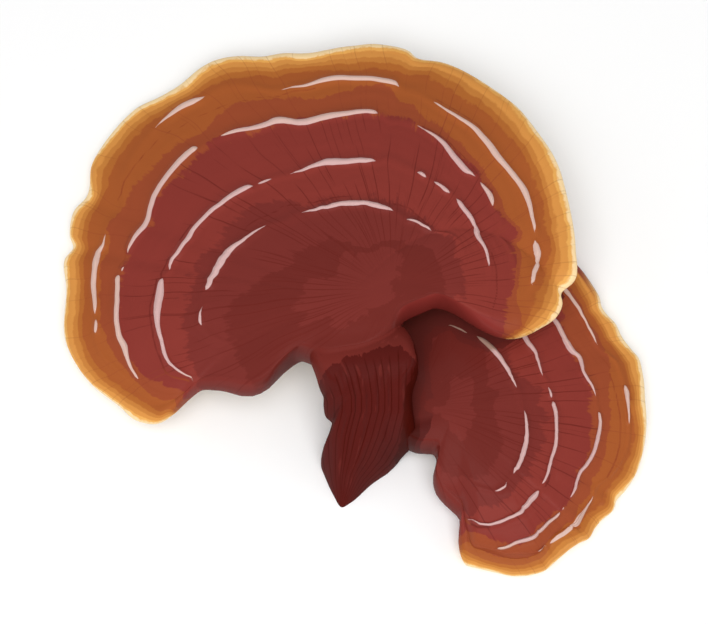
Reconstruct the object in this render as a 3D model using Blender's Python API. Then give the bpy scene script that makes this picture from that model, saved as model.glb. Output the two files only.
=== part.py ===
"""Reishi mushroom: two lacquered caps grown from one short side stalk.

It lies as picked, pores down: the large cap leans on its left margin, the small cap lies flat,
and the stalk slopes down to the flat cut where it stood. +X runs along the longest side, +Y runs
to the back and +Z is up. The origin is at the middle of the bounding box's bottom.
"""
import math

import bmesh
import bpy
import numpy as np

MM = 0.001
GAP = 0.4                      # clearance between touching pieces, in mm

# ---- driving dimensions, in mm ----
PLACE = (0.6, -6.1)            # moves the outlines below so that the origin is the box's middle
LARGE_CENTRE = (-3.0, -3.0)    # where the large cap's growth starts, seen from above
SMALL_CENTRE = (29.0, -33.0)
STEM_CENTRE = (3.0, -28.0)

LARGE_MARGIN_HEIGHT = 21.4     # top of the large cap's margin, above the middle of the floor
LARGE_LEAN_RIGHT = 0.15        # rise per mm towards +X
LARGE_LEAN_BACK = -0.07        # rise per mm towards +Y
LARGE_DOME = 14.0              # rise from the margin to the middle
LARGE_MARGIN_THICKNESS = 7.5
LARGE_MIDDLE_THICKNESS = 19.5

SMALL_MARGIN_HEIGHT = 8.0
SMALL_DOME = 11.0
SMALL_HOLLOW = 3.0             # how far the pore side arches off the floor

DOME_POWER = 1.6
NOSE_SHARE = 0.55              # width of the rounded margin as a share of its thickness
NOTCH_NOSE_SHARE = 0.2         # the same where the edge runs along a notch
NOTCH_EDGE_AGE = 0.6           # edges no older than this have the notch's sharper rounding
RIDGE_HEIGHT = 0.9
RIDGE_HALF_WIDTH = 0.028       # as a share of full growth
LARGE_RIDGE_AGES = (0.42, 0.59, 0.78, 0.905)
SMALL_RIDGE_AGES = (0.36, 0.52, 0.72, 0.88)
RIDGE_FADE = 0.55              # ridges are gone where the edge is no older than this
WAVE_HEIGHT = 0.7              # gentle rise and fall of the margin

STEM_FOOT_NOSE = 9.0           # width of the stalk's rounded flanks at its foot
STEM_SHOULDER_NOSE = 4.0       # and where it runs flat into the large cap
STEM_FOOT_END = -40.0
STEM_SHOULDER_START = -24.0
STEM_LEAN_START = -50.0        # the stalk's upper side takes on the large cap's lean from here
STEM_FLUTE_DEPTH = 0.45
STEM_FLUTE_PITCH = 6.0
STEM_FLUTE_START = -24.0       # the flutes fade out where the stalk meets the large cap
STEM_ARCH_START = -43.0        # behind this the stalk's underside leaves the floor
STEM_ARCH_SLOPE = 0.85
STEM_LEAST_THICKNESS = 5.0     # where the arch meets the large cap
STEM_CUT_BLEND = 5.0           # height over which the flat cut's rim turns into a rounded flank

# How growth rings crowd round each cap: their shift at the heading where they grow most freely,
# how much more they shift away from it, that heading in degrees, and the most they shift.
LARGE_CROWDING = (-0.07, 0.246, 108, 0.12)
SMALL_CROWDING = (0.01, 0.19, 45, 0.22)
STEM_CROWDING = (0, 0, 0, 0)

LARGE_SEGMENTS = 100
SMALL_SEGMENTS = 64
STEM_SEGMENTS = 48

# Outline of each piece from above: heading in degrees, x and y in mm, and the age that growth
# has reached at that point, from 0 at the middle to 1 at the true margin. Edges below 1 run
# along the notches beside the stalk. A heading is the way a growth line sets out from the
# middle, and it bends on its way to reach an edge that lies round a corner.
LARGE_OUTLINE = (
    (-14, 15.9, -5.6, 0.30), (-3.5, 18.6, -4.3, 0.33), (5, 22, -3.1, 0.38),
    (11.5, 25.2, -2.1, 0.43), (18, 28.6, -3.5, 0.49), (22.5, 31.8, -6, 0.54),
    (27.5, 37.4, -10.4, 0.62), (31, 42.5, -12.9, 0.70), (34, 47.2, -13.3, 0.77),
    (38.5, 54.5, -10.1, 0.87), (41, 59.2, -6.6, 0.95), (43.5, 61.5, -2, 1), (45.5, 61.5, 2, 1),
    (47, 65, 5, 1), (50.5, 66, 15.5, 1), (55.5, 64.2, 32, 1), (60, 60.8, 46, 1),
    (63.5, 55.2, 56.5, 1), (67, 49.8, 64.8, 1), (70, 42.5, 72, 1), (73.5, 33.5, 79.2, 1),
    (76, 27.5, 82.5, 1), (78.5, 20, 84.5, 1), (80.5, 17, 87.5, 1), (83.5, 9.5, 90, 1),
    (89.5, -1.5, 90, 1), (99, -17, 88.5, 1), (101.5, -22, 89, 1), (105.5, -29, 88.2, 1),
    (109.5, -36, 88.8, 1), (118, -48.5, 85.5, 1), (122, -54.5, 80.5, 1), (127, -61.5, 76.3, 1),
    (132.5, -68.5, 72.8, 1), (139.5, -76.5, 63.5, 1), (145, -81.5, 54.5, 1),
    (153.5, -83.5, 41.5, 1), (156.5, -86.8, 37.5, 1), (160.5, -87.8, 29.5, 1),
    (163.5, -86.5, 25, 1), (166.5, -89, 21, 1), (171, -88, 11.5, 1), (178, -87, -7, 1),
    (183, -79, -19.8, 1), (186.5, -70.4, -27.1, 1), (189.5, -64.6, -32.3, 1),
    (191.5, -59.4, -33.8, 0.98), (194.5, -54, -31.6, 0.93), (197, -50.5, -28.2, 0.85),
    (199, -47, -25.2, 0.78), (202.5, -41, -25.2, 0.68), (208.5, -31, -28, 0.55),
    (212, -27, -27, 0.49), (219, -21.5, -21.3, 0.38), (230.5, -17, -17.5, 0.30),
    (240.5, -12.8, -19, 0.30), (253, -8.2, -20.4, 0.30), (266, -3.4, -20, 0.30),
    (282, 2.4, -18.9, 0.30), (302, 8, -16.2, 0.30), (324, 12.2, -12.2, 0.30),
)
SMALL_OUTLINE = (
    (8, 87.5, -25, 1), (16.5, 87.2, -16, 1), (21, 86.2, -11, 1), (24.5, 84, -8, 1),
    (29, 81.3, -4, 1), (33, 79.6, 0, 1), (37, 77, 3, 1), (39.5, 75.6, 5.5, 1),
    (42, 75, 8.5, 1), (46, 73, 12.5, 1), (53, 68.5, 19, 1), (65, 57.5, 27.5, 1),
    (76, 45, 30, 1), (89, 31, 24, 1), (102, 17, 10, 1), (117, 10, -2, 0.8),
    (140, 9, -16, 0.5), (172, 11, -30, 0.4), (199, 13.5, -38.5, 0.38),
    (217, 17.5, -41.5, 0.36), (231, 21, -42, 0.34), (243, 23.8, -43, 0.36),
    (250.5, 24.3, -45.5, 0.42), (255.5, 23.3, -50, 0.50), (260, 23.8, -53.2, 0.56),
    (267, 26.5, -57, 0.66), (272, 28.5, -58.8, 0.72), (277.5, 31.2, -61.8, 0.79),
    (280.5, 31, -64, 0.83), (284, 30.7, -68, 0.91), (287, 31.4, -72.3, 0.98),
    (289.5, 33, -74.9, 1), (292, 37, -76, 1), (295, 42, -77.2, 1), (298, 46.5, -78.2, 1),
    (301.5, 52, -77.9, 1), (305, 56.3, -76.5, 1), (308, 59.5, -73.8, 1),
    (311, 62.5, -71.2, 1), (316, 66, -68.7, 1), (320.5, 69.5, -66.7, 1),
    (323.5, 70.8, -64.4, 1), (327, 73, -61.6, 1), (332, 76.8, -58.2, 1),
    (335, 77.8, -55.5, 1), (340, 80.8, -52, 1), (346, 84, -47, 1), (350.5, 85.7, -42.5, 1),
    (359.5, 87.5, -33.5, 1),
)
STEM_OUTLINE = (
    (0, 17.2, -28, 1), (16, 18.8, -22.6, 1), (32, 18, -17.2, 1), (50, 15.4, -11.4, 1),
    (70, 10.5, -7, 1), (90, 3, -4.5, 1), (114, -6, -8, 1), (134, -12, -12.5, 1), (150, -13, -18.5, 1),
    (160, -11.3, -23, 1), (172, -10.2, -26.3, 1), (185, -9, -28.8, 1), (197, -8.9, -31.6, 1),
    (204, -8.4, -33.4, 1), (211, -6.6, -35, 1), (218, -7, -37.2, 1), (224, -8.2, -39.5, 1),
    (229, -9.7, -41.8, 1), (234, -9.8, -44, 1), (240, -8.7, -47, 1), (250, -6.1, -52.8, 1),
    (256, -3.9, -56.4, 1), (262, -1.2, -55.2, 1), (275, 4.8, -49.8, 1),
    (293, 10.4, -45.7, 1), (307, 13.8, -42.3, 1), (322, 17.2, -39.8, 1),
)
# Height of the stalk's upper side along its length: y and z in mm.
STEM_PROFILE = (
    (-57, 1.5), (-52, 6.5), (-46, 13.7), (-40, 21), (-34, 27.8), (-28, 32.5), (-24, 33.7),
    (-21, 33.4), (-18, 32.2), (-13, 29), (-5, 24),
)

# Rings of each mesh, from the middle of the upper side over the rounded margin to the middle of
# the pore side. Upper and lower rings are shares of the way to the margin's rounding.
RIDGE_SIDES = (-RIDGE_HALF_WIDTH, 0, RIDGE_HALF_WIDTH)
CAP_PLAIN_RINGS = (0.14, 0.27, 0.95)
CAP_NOSE_ANGLES = (90, 55, 20, -20, -60, -90)
CAP_UNDER_RINGS = (0.85, 0.6, 0.3)
STEM_TOP_RINGS = (0.2, 0.4, 0.6, 0.8, 0.92)
STEM_NOSE_ANGLES = (90, 62, 35, 10, -15, -45, -90)
STEM_UNDER_RINGS = (0.5,)


def closed_curve(table, heading):
    """Values of a table that closes on itself, on a smooth curve through its rows."""
    rows = np.array(table, float)
    keys = np.concatenate((rows[-2:, 0] - 360, rows[:, 0], rows[:2, 0] + 360))
    values = np.concatenate((rows[-2:, 1:], rows[:, 1:], rows[:2, 1:]))
    spans = np.diff(keys)[:, None]
    slopes = np.diff(values, axis=0) / spans
    bends = (slopes[1:] * spans[:-1] + slopes[:-1] * spans[1:]) / (spans[1:] + spans[:-1])
    bends = np.concatenate((slopes[:1], bends, slopes[-1:]))
    turned = np.mod(np.asarray(heading, float) - rows[0, 0], 360) + rows[0, 0]
    left = np.clip(np.searchsorted(keys, turned, side="right") - 1, 0, len(keys) - 2)
    width = spans[left, 0]
    share = ((turned - keys[left]) / width)[..., None]
    width = width[..., None]
    rest = 1 - share
    return (values[left] * (1 + 2 * share) * rest ** 2 + bends[left] * width * share * rest ** 2
            + values[left + 1] * share ** 2 * (3 - 2 * share)
            - bends[left + 1] * width * share ** 2 * rest)


def ring_distance(age, heading, crowding):
    """Share of the way to a margin at age 1 that growth of this age has reached."""
    least, swing, free_heading, most = crowding
    shift = least + swing * (1 - np.cos(np.radians(heading - free_heading)))
    return age + 4 * age * (1 - age) * np.minimum(shift, most)


def plan_point(centre, outline, heading, share, grow):
    """Point on a growth line, seen from above, and the edge's distance from the middle."""
    edge = closed_curve(outline, heading)
    away = edge[..., :2] - np.array(centre)
    reach = np.hypot(away[..., 0], away[..., 1])
    direction = np.degrees(np.arctan2(away[..., 1], away[..., 0]))
    lag = np.mod(direction - heading + 180, 360) - 180
    turned = np.radians(heading + lag * share ** 3)
    reach_grown = reach + grow
    x = centre[0] + share * reach_grown * np.cos(turned)
    y = centre[1] + share * reach_grown * np.sin(turned)
    return x, y, reach_grown


def ridges(age, edge_age, ridge_ages):
    """Low rounded ridges along the growth rings, fading where rings run out at the notches."""
    height = np.zeros_like(age)
    for ridge_age in ridge_ages:
        away = np.minimum(np.abs(age - ridge_age) / RIDGE_HALF_WIDTH, 1)
        height += 0.5 * (1 + np.cos(np.pi * away))
    return RIDGE_HEIGHT * height * np.clip((edge_age - RIDGE_FADE) / (1 - RIDGE_FADE), 0, 1)


def margin_wave(age, heading):
    """Slow rise and fall of the margin round the cap."""
    turned = np.radians(heading)
    wave = np.sin(7 * turned + 1) + 0.6 * np.sin(13 * turned)
    return WAVE_HEIGHT * wave * age ** 4


def large_cap_heights(x, y, age, heading, edge_age):
    """Upper and lower height of the large cap, in mm."""
    lean = LARGE_MARGIN_HEIGHT + LARGE_LEAN_RIGHT * x + LARGE_LEAN_BACK * y
    smooth_top = lean + LARGE_DOME * (1 - age ** DOME_POWER) + margin_wave(age, heading)
    spread = LARGE_MIDDLE_THICKNESS - LARGE_MARGIN_THICKNESS
    thickness = LARGE_MARGIN_THICKNESS + spread * (1 - age)
    top = smooth_top + ridges(age, edge_age, LARGE_RIDGE_AGES)
    return top, np.maximum(smooth_top - thickness, 0)


def small_cap_heights(x, y, age, heading, edge_age):
    """Upper and lower height of the small cap, in mm."""
    smooth_top = SMALL_MARGIN_HEIGHT + SMALL_DOME * (1 - age ** DOME_POWER)
    top = smooth_top + ridges(age, edge_age, SMALL_RIDGE_AGES) + margin_wave(age, heading)
    return top, SMALL_HOLLOW * (1 - np.minimum(age / 0.8, 1) ** 2)


def stem_heights(x, y, age, heading, edge_age):
    """Upper and lower height of the stalk, in mm: it slopes down to its cut."""
    profile = np.array(STEM_PROFILE)
    lean = np.interp(y, (STEM_LEAN_START, STEM_SHOULDER_START), (0, LARGE_LEAN_RIGHT))
    top = np.interp(y, profile[:, 0], profile[:, 1]) + lean * x
    depth = STEM_FLUTE_DEPTH * np.clip((STEM_FLUTE_START - y) / STEM_FLUTE_PITCH, 0, 1)
    flutes = depth * np.cos(2 * np.pi * (x - 0.12 * y) / STEM_FLUTE_PITCH)
    arch = np.minimum(STEM_ARCH_SLOPE * (y - STEM_ARCH_START), top - STEM_LEAST_THICKNESS)
    return top + flutes, np.maximum(arch, 0)


def cap_nose(y, thickness, edge_age):
    """Width of a cap's rounded edge: the margin is rounder than the sides of the notches."""
    return thickness * np.interp(edge_age, (NOTCH_EDGE_AGE, 1), (NOTCH_NOSE_SHARE, NOSE_SHARE))


def stem_nose(y, thickness, edge_age):
    """Width of the stalk's rounded flanks."""
    return np.interp(y, (STEM_FOOT_END, STEM_SHOULDER_START), (STEM_FOOT_NOSE, STEM_SHOULDER_NOSE))


def grown_body(name, centre, outline, crowding, heights, segments, rings, nose, cut_blend=None,
               grow=0.0):
    """A closed solid: a UV sphere whose rings become growth rings and whose meridians growth lines."""
    top_rings, nose_angles, under_rings = rings
    levels = ([("top", 0.0)] + [("top", share) for share in top_rings]
              + [("nose", angle) for angle in nose_angles]
              + [("under", share) for share in under_rings] + [("under", 0.0)])
    shape = bmesh.new()
    bmesh.ops.create_uvsphere(shape, u_segments=segments, v_segments=len(levels) - 1, radius=1)
    shape.verts.ensure_lookup_table()
    places = np.array([vert.co for vert in shape.verts])
    latitude = np.arcsin(np.clip(places[:, 2], -1, 1))
    level = np.rint((0.5 - latitude / np.pi) * (len(levels) - 1)).astype(int)
    heading = np.degrees(np.arctan2(places[:, 1], places[:, 0]))

    edge_age = closed_curve(outline, heading)[:, 2]
    x, y, reach = plan_point(centre, outline, heading, np.ones_like(heading), grow)
    top, bottom = heights(x, y, edge_age, heading, edge_age)
    nose_start = 1 - nose(y, top - bottom, edge_age) / reach

    kinds = np.array([kind for kind, value in levels])[level]
    values = np.array([value for kind, value in levels])[level]
    angle = np.radians(np.where(kinds == "nose", values, np.where(kinds == "top", 90, -90)))
    end = ring_distance(edge_age, heading, crowding)
    plate = ring_distance(values * edge_age, heading, crowding) / end * nose_start
    share = np.where(kinds == "nose", nose_start + (1 - nose_start) * np.cos(angle), plate)
    x, y, reach = plan_point(centre, outline, heading, share, grow)
    age = edge_age * np.where(kinds == "nose", 1, values)
    top, bottom = heights(x, y, age, heading, edge_age)
    lift = (1 + np.sin(angle)) / 2
    if cut_blend is not None:
        off_floor = np.clip(bottom / cut_blend, 0, 1)
        lift = off_floor * lift + (1 - off_floor) * np.maximum(np.sin(angle), 0)
    z = bottom - grow + (top - bottom + 2 * grow) * lift
    places = np.stack((x + PLACE[0], y + PLACE[1], z), axis=1) * MM
    for vert, spot in zip(shape.verts, places):
        vert.co = spot
    mesh = bpy.data.meshes.new(name)
    shape.to_mesh(mesh)
    shape.free()
    mesh.shade_smooth()
    return bpy.data.objects.new(name, mesh)


def principled(name, color, roughness, coat=0.0):
    material = bpy.data.materials.new(name)
    material.use_nodes = True
    shader = material.node_tree.nodes["Principled BSDF"]
    shader.inputs["Base Color"].default_value = (*color, 1)
    shader.inputs["Roughness"].default_value = roughness
    shader.inputs["Metallic"].default_value = 0
    shader.inputs["Coat Weight"].default_value = coat
    return material


def cut(piece, cutter):
    """Take the cutter's space out of a piece."""
    modifier = piece.modifiers.new("cut " + cutter.name, "BOOLEAN")
    modifier.operation = "DIFFERENCE"
    modifier.solver = "EXACT"
    modifier.object = cutter


def cap_rings(ridge_ages):
    """Rings of a cap's mesh, with three on each ridge: its two feet and its crest."""
    ridge_rings = tuple(age + side for age in ridge_ages for side in RIDGE_SIDES)
    return tuple(sorted(CAP_PLAIN_RINGS + ridge_rings)), CAP_NOSE_ANGLES, CAP_UNDER_RINGS


def large_cap(name, grow=0.0):
    return grown_body(name, LARGE_CENTRE, LARGE_OUTLINE, LARGE_CROWDING, large_cap_heights,
                      LARGE_SEGMENTS, cap_rings(LARGE_RIDGE_AGES), cap_nose, grow=grow)


def small_cap(name):
    return grown_body(name, SMALL_CENTRE, SMALL_OUTLINE, SMALL_CROWDING, small_cap_heights,
                      SMALL_SEGMENTS, cap_rings(SMALL_RIDGE_AGES), cap_nose)


def stem(name, grow=0.0):
    rings = (STEM_TOP_RINGS, STEM_NOSE_ANGLES, STEM_UNDER_RINGS)
    return grown_body(name, STEM_CENTRE, STEM_OUTLINE, STEM_CROWDING, stem_heights,
                      STEM_SEGMENTS, rings, stem_nose, STEM_CUT_BLEND, grow)


def main():
    for old in list(bpy.data.objects):
        bpy.data.objects.remove(old, do_unlink=True)
    parts = bpy.data.collections.new("reishi mushroom")
    cutters = bpy.data.collections.new("cutters")
    for collection in (parts, cutters):
        bpy.context.scene.collection.children.link(collection)

    pieces = (
        (large_cap("large_cap"), principled("lacquered cap", (0.24, 0.04, 0.03), 0.3, 0.6)),
        (small_cap("small_cap"), principled("lacquered small cap", (0.26, 0.06, 0.03), 0.3, 0.6)),
        (stem("stem"), principled("dark stalk", (0.09, 0.015, 0.012), 0.45, 0.3)),
    )
    for piece, material in pieces:
        piece.data.materials.append(material)
        parts.objects.link(piece)
    large_space = large_cap("large_cap_space", GAP)
    stem_space = stem("stem_space", GAP)
    for cutter in (large_space, stem_space):
        cutter.hide_render = True
        cutter.display_type = "WIRE"
        cutters.objects.link(cutter)

    cut(parts.objects["stem"], large_space)
    cut(parts.objects["small_cap"], large_space)
    cut(parts.objects["small_cap"], stem_space)


main()
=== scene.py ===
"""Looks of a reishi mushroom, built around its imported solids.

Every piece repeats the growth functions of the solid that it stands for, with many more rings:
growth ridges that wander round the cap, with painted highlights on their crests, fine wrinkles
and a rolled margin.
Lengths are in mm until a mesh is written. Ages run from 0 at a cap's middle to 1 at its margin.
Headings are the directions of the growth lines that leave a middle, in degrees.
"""
import math
from collections import namedtuple

import bpy
import numpy as np
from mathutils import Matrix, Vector
from mathutils.bvhtree import BVHTree


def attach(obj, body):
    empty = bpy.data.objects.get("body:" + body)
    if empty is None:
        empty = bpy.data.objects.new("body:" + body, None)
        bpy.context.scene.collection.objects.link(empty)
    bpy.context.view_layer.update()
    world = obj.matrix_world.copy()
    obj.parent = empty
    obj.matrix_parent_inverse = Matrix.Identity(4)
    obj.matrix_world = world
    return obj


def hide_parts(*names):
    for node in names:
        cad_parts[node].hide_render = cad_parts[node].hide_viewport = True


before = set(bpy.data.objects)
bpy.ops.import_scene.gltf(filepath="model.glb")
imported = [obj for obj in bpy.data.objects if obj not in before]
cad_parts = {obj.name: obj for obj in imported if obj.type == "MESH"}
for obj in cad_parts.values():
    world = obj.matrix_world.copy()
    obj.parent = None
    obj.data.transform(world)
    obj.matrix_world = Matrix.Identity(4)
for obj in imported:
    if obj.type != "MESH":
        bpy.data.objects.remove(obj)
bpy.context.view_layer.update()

MM = 0.001

# ---- the solids' own sizes, in mm ----
PLACE = (0.6, -6.1)
LARGE_CENTRE = (-3.0, -3.0)
SMALL_CENTRE = (29.0, -33.0)
STEM_CENTRE = (3.0, -28.0)
LARGE_MARGIN_HEIGHT = 21.4
LARGE_LEAN_RIGHT = 0.15
LARGE_LEAN_BACK = -0.07
LARGE_DOME = 14.0
LARGE_MARGIN_THICKNESS = 7.5
LARGE_MIDDLE_THICKNESS = 19.5
SMALL_MARGIN_HEIGHT = 8.0
SMALL_DOME = 11.0
SMALL_HOLLOW = 3.0
SMALL_HOLLOW_END = 0.8
DOME_POWER = 1.6
NOSE_SHARE = 0.55
NOTCH_NOSE_SHARE = 0.2
NOTCH_EDGE_AGE = 0.6
RIDGE_HEIGHT = 0.9
RIDGE_HALF_WIDTH = 0.028
RIDGE_FADE = 0.55
WAVE_HEIGHT = 0.7
STEM_FOOT_NOSE = 9.0
STEM_SHOULDER_NOSE = 4.0
STEM_FOOT_END = -40.0
STEM_SHOULDER_START = -24.0
STEM_LEAN_START = -50.0
STEM_FLUTE_DEPTH = 0.45
STEM_FLUTE_PITCH = 6.0
STEM_FLUTE_START = -24.0
STEM_FLUTE_SLANT = 0.12
STEM_ARCH_START = -43.0
STEM_ARCH_SLOPE = 0.85
STEM_LEAST_THICKNESS = 5.0
STEM_CUT_BLEND = 5.0
LARGE_CROWDING = (-0.07, 0.246, 108, 0.12)
SMALL_CROWDING = (0.01, 0.19, 45, 0.22)

# Outlines: heading, x, y and the age that growth has reached at the edge.
LARGE_OUTLINE = (
    (-14, 15.9, -5.6, .3), (-3.5, 18.6, -4.3, .33), (5, 22, -3.1, .38), (11.5, 25.2, -2.1, .43),
    (18, 28.6, -3.5, .49), (22.5, 31.8, -6, .54), (27.5, 37.4, -10.4, .62), (31, 42.5, -12.9, .7),
    (34, 47.2, -13.3, .77), (38.5, 54.5, -10.1, .87), (41, 59.2, -6.6, .95), (43.5, 61.5, -2, 1),
    (45.5, 61.5, 2, 1), (47, 65, 5, 1), (50.5, 66, 15.5, 1), (55.5, 64.2, 32, 1), (60, 60.8, 46, 1),
    (63.5, 55.2, 56.5, 1), (67, 49.8, 64.8, 1), (70, 42.5, 72, 1), (73.5, 33.5, 79.2, 1),
    (76, 27.5, 82.5, 1), (78.5, 20, 84.5, 1), (80.5, 17, 87.5, 1), (83.5, 9.5, 90, 1),
    (89.5, -1.5, 90, 1), (99, -17, 88.5, 1), (101.5, -22, 89, 1), (105.5, -29, 88.2, 1),
    (109.5, -36, 88.8, 1), (118, -48.5, 85.5, 1), (122, -54.5, 80.5, 1), (127, -61.5, 76.3, 1),
    (132.5, -68.5, 72.8, 1), (139.5, -76.5, 63.5, 1), (145, -81.5, 54.5, 1), (153.5, -83.5, 41.5, 1),
    (156.5, -86.8, 37.5, 1), (160.5, -87.8, 29.5, 1), (163.5, -86.5, 25, 1), (166.5, -89, 21, 1),
    (171, -88, 11.5, 1), (178, -87, -7, 1), (183, -79, -19.8, 1), (186.5, -70.4, -27.1, 1),
    (189.5, -64.6, -32.3, 1), (191.5, -59.4, -33.8, .98), (194.5, -54, -31.6, .93),
    (197, -50.5, -28.2, .85), (199, -47, -25.2, .78), (202.5, -41, -25.2, .68), (208.5, -31, -28, .55),
    (212, -27, -27, .49), (219, -21.5, -21.3, .38), (230.5, -17, -17.5, .3), (240.5, -12.8, -19, .3),
    (253, -8.2, -20.4, .3), (266, -3.4, -20, .3), (282, 2.4, -18.9, .3), (302, 8, -16.2, .3),
    (324, 12.2, -12.2, .3),
)
# Under the large cap, at headings 199 to 256, the edge ages are a little lower than the solid's,
# so that the fine rings there don't fold over.
SMALL_OUTLINE = (
    (8, 87.5, -25, 1), (16.5, 87.2, -16, 1), (21, 86.2, -11, 1), (24.5, 84, -8, 1), (29, 81.3, -4, 1),
    (33, 79.6, 0, 1), (37, 77, 3, 1), (39.5, 75.6, 5.5, 1), (42, 75, 8.5, 1), (46, 73, 12.5, 1),
    (53, 68.5, 19, 1), (65, 57.5, 27.5, 1), (76, 45, 30, 1), (89, 31, 24, 1), (102, 17, 10, 1),
    (117, 10, -2, .8), (140, 9, -16, .5), (172, 11, -30, .4), (199, 13.5, -38.5, .37),
    (217, 17.5, -41.5, .33), (231, 21, -42, .275), (243, 23.8, -43, .255), (250.5, 24.3, -45.5, .33),
    (255.5, 23.3, -50, .465), (260, 23.8, -53.2, .56), (267, 26.5, -57, .66), (272, 28.5, -58.8, .72),
    (277.5, 31.2, -61.8, .79), (280.5, 31, -64, .83), (284, 30.7, -68, .91), (287, 31.4, -72.3, .98),
    (289.5, 33, -74.9, 1), (292, 37, -76, 1), (295, 42, -77.2, 1), (298, 46.5, -78.2, 1),
    (301.5, 52, -77.9, 1), (305, 56.3, -76.5, 1), (308, 59.5, -73.8, 1), (311, 62.5, -71.2, 1),
    (316, 66, -68.7, 1), (320.5, 69.5, -66.7, 1), (323.5, 70.8, -64.4, 1), (327, 73, -61.6, 1),
    (332, 76.8, -58.2, 1), (335, 77.8, -55.5, 1), (340, 80.8, -52, 1), (346, 84, -47, 1),
    (350.5, 85.7, -42.5, 1), (359.5, 87.5, -33.5, 1),
)
STEM_OUTLINE = (
    (0, 17.2, -28, 1), (16, 18.8, -22.6, 1), (32, 18, -17.2, 1), (50, 15.4, -11.4, 1),
    (70, 10.5, -7, 1), (90, 3, -4.5, 1), (114, -6, -8, 1), (134, -12, -12.5, 1), (150, -13, -18.5, 1),
    (160, -11.3, -23, 1), (172, -10.2, -26.3, 1), (185, -9, -28.8, 1), (197, -8.9, -31.6, 1),
    (204, -8.4, -33.4, 1), (211, -6.6, -35, 1), (218, -7, -37.2, 1), (224, -8.2, -39.5, 1),
    (229, -9.7, -41.8, 1), (234, -9.8, -44, 1), (240, -8.7, -47, 1), (250, -6.1, -52.8, 1),
    (256, -3.9, -56.4, 1), (262, -1.2, -55.2, 1), (275, 4.8, -49.8, 1), (293, 10.4, -45.7, 1),
    (307, 13.8, -42.3, 1), (322, 17.2, -39.8, 1),
)
# The stalk's height along y. The shoulder is up to 3 mm higher than the solid's, so that it runs
# flush into the large cap.
STEM_PROFILE = (
    (-57, 1.5), (-52, 6.5), (-46, 13.7), (-40, 21), (-34, 28), (-28, 33.1), (-24, 34.7), (-21, 35),
    (-18, 34.6), (-13, 32), (-5, 26),
)
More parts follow.
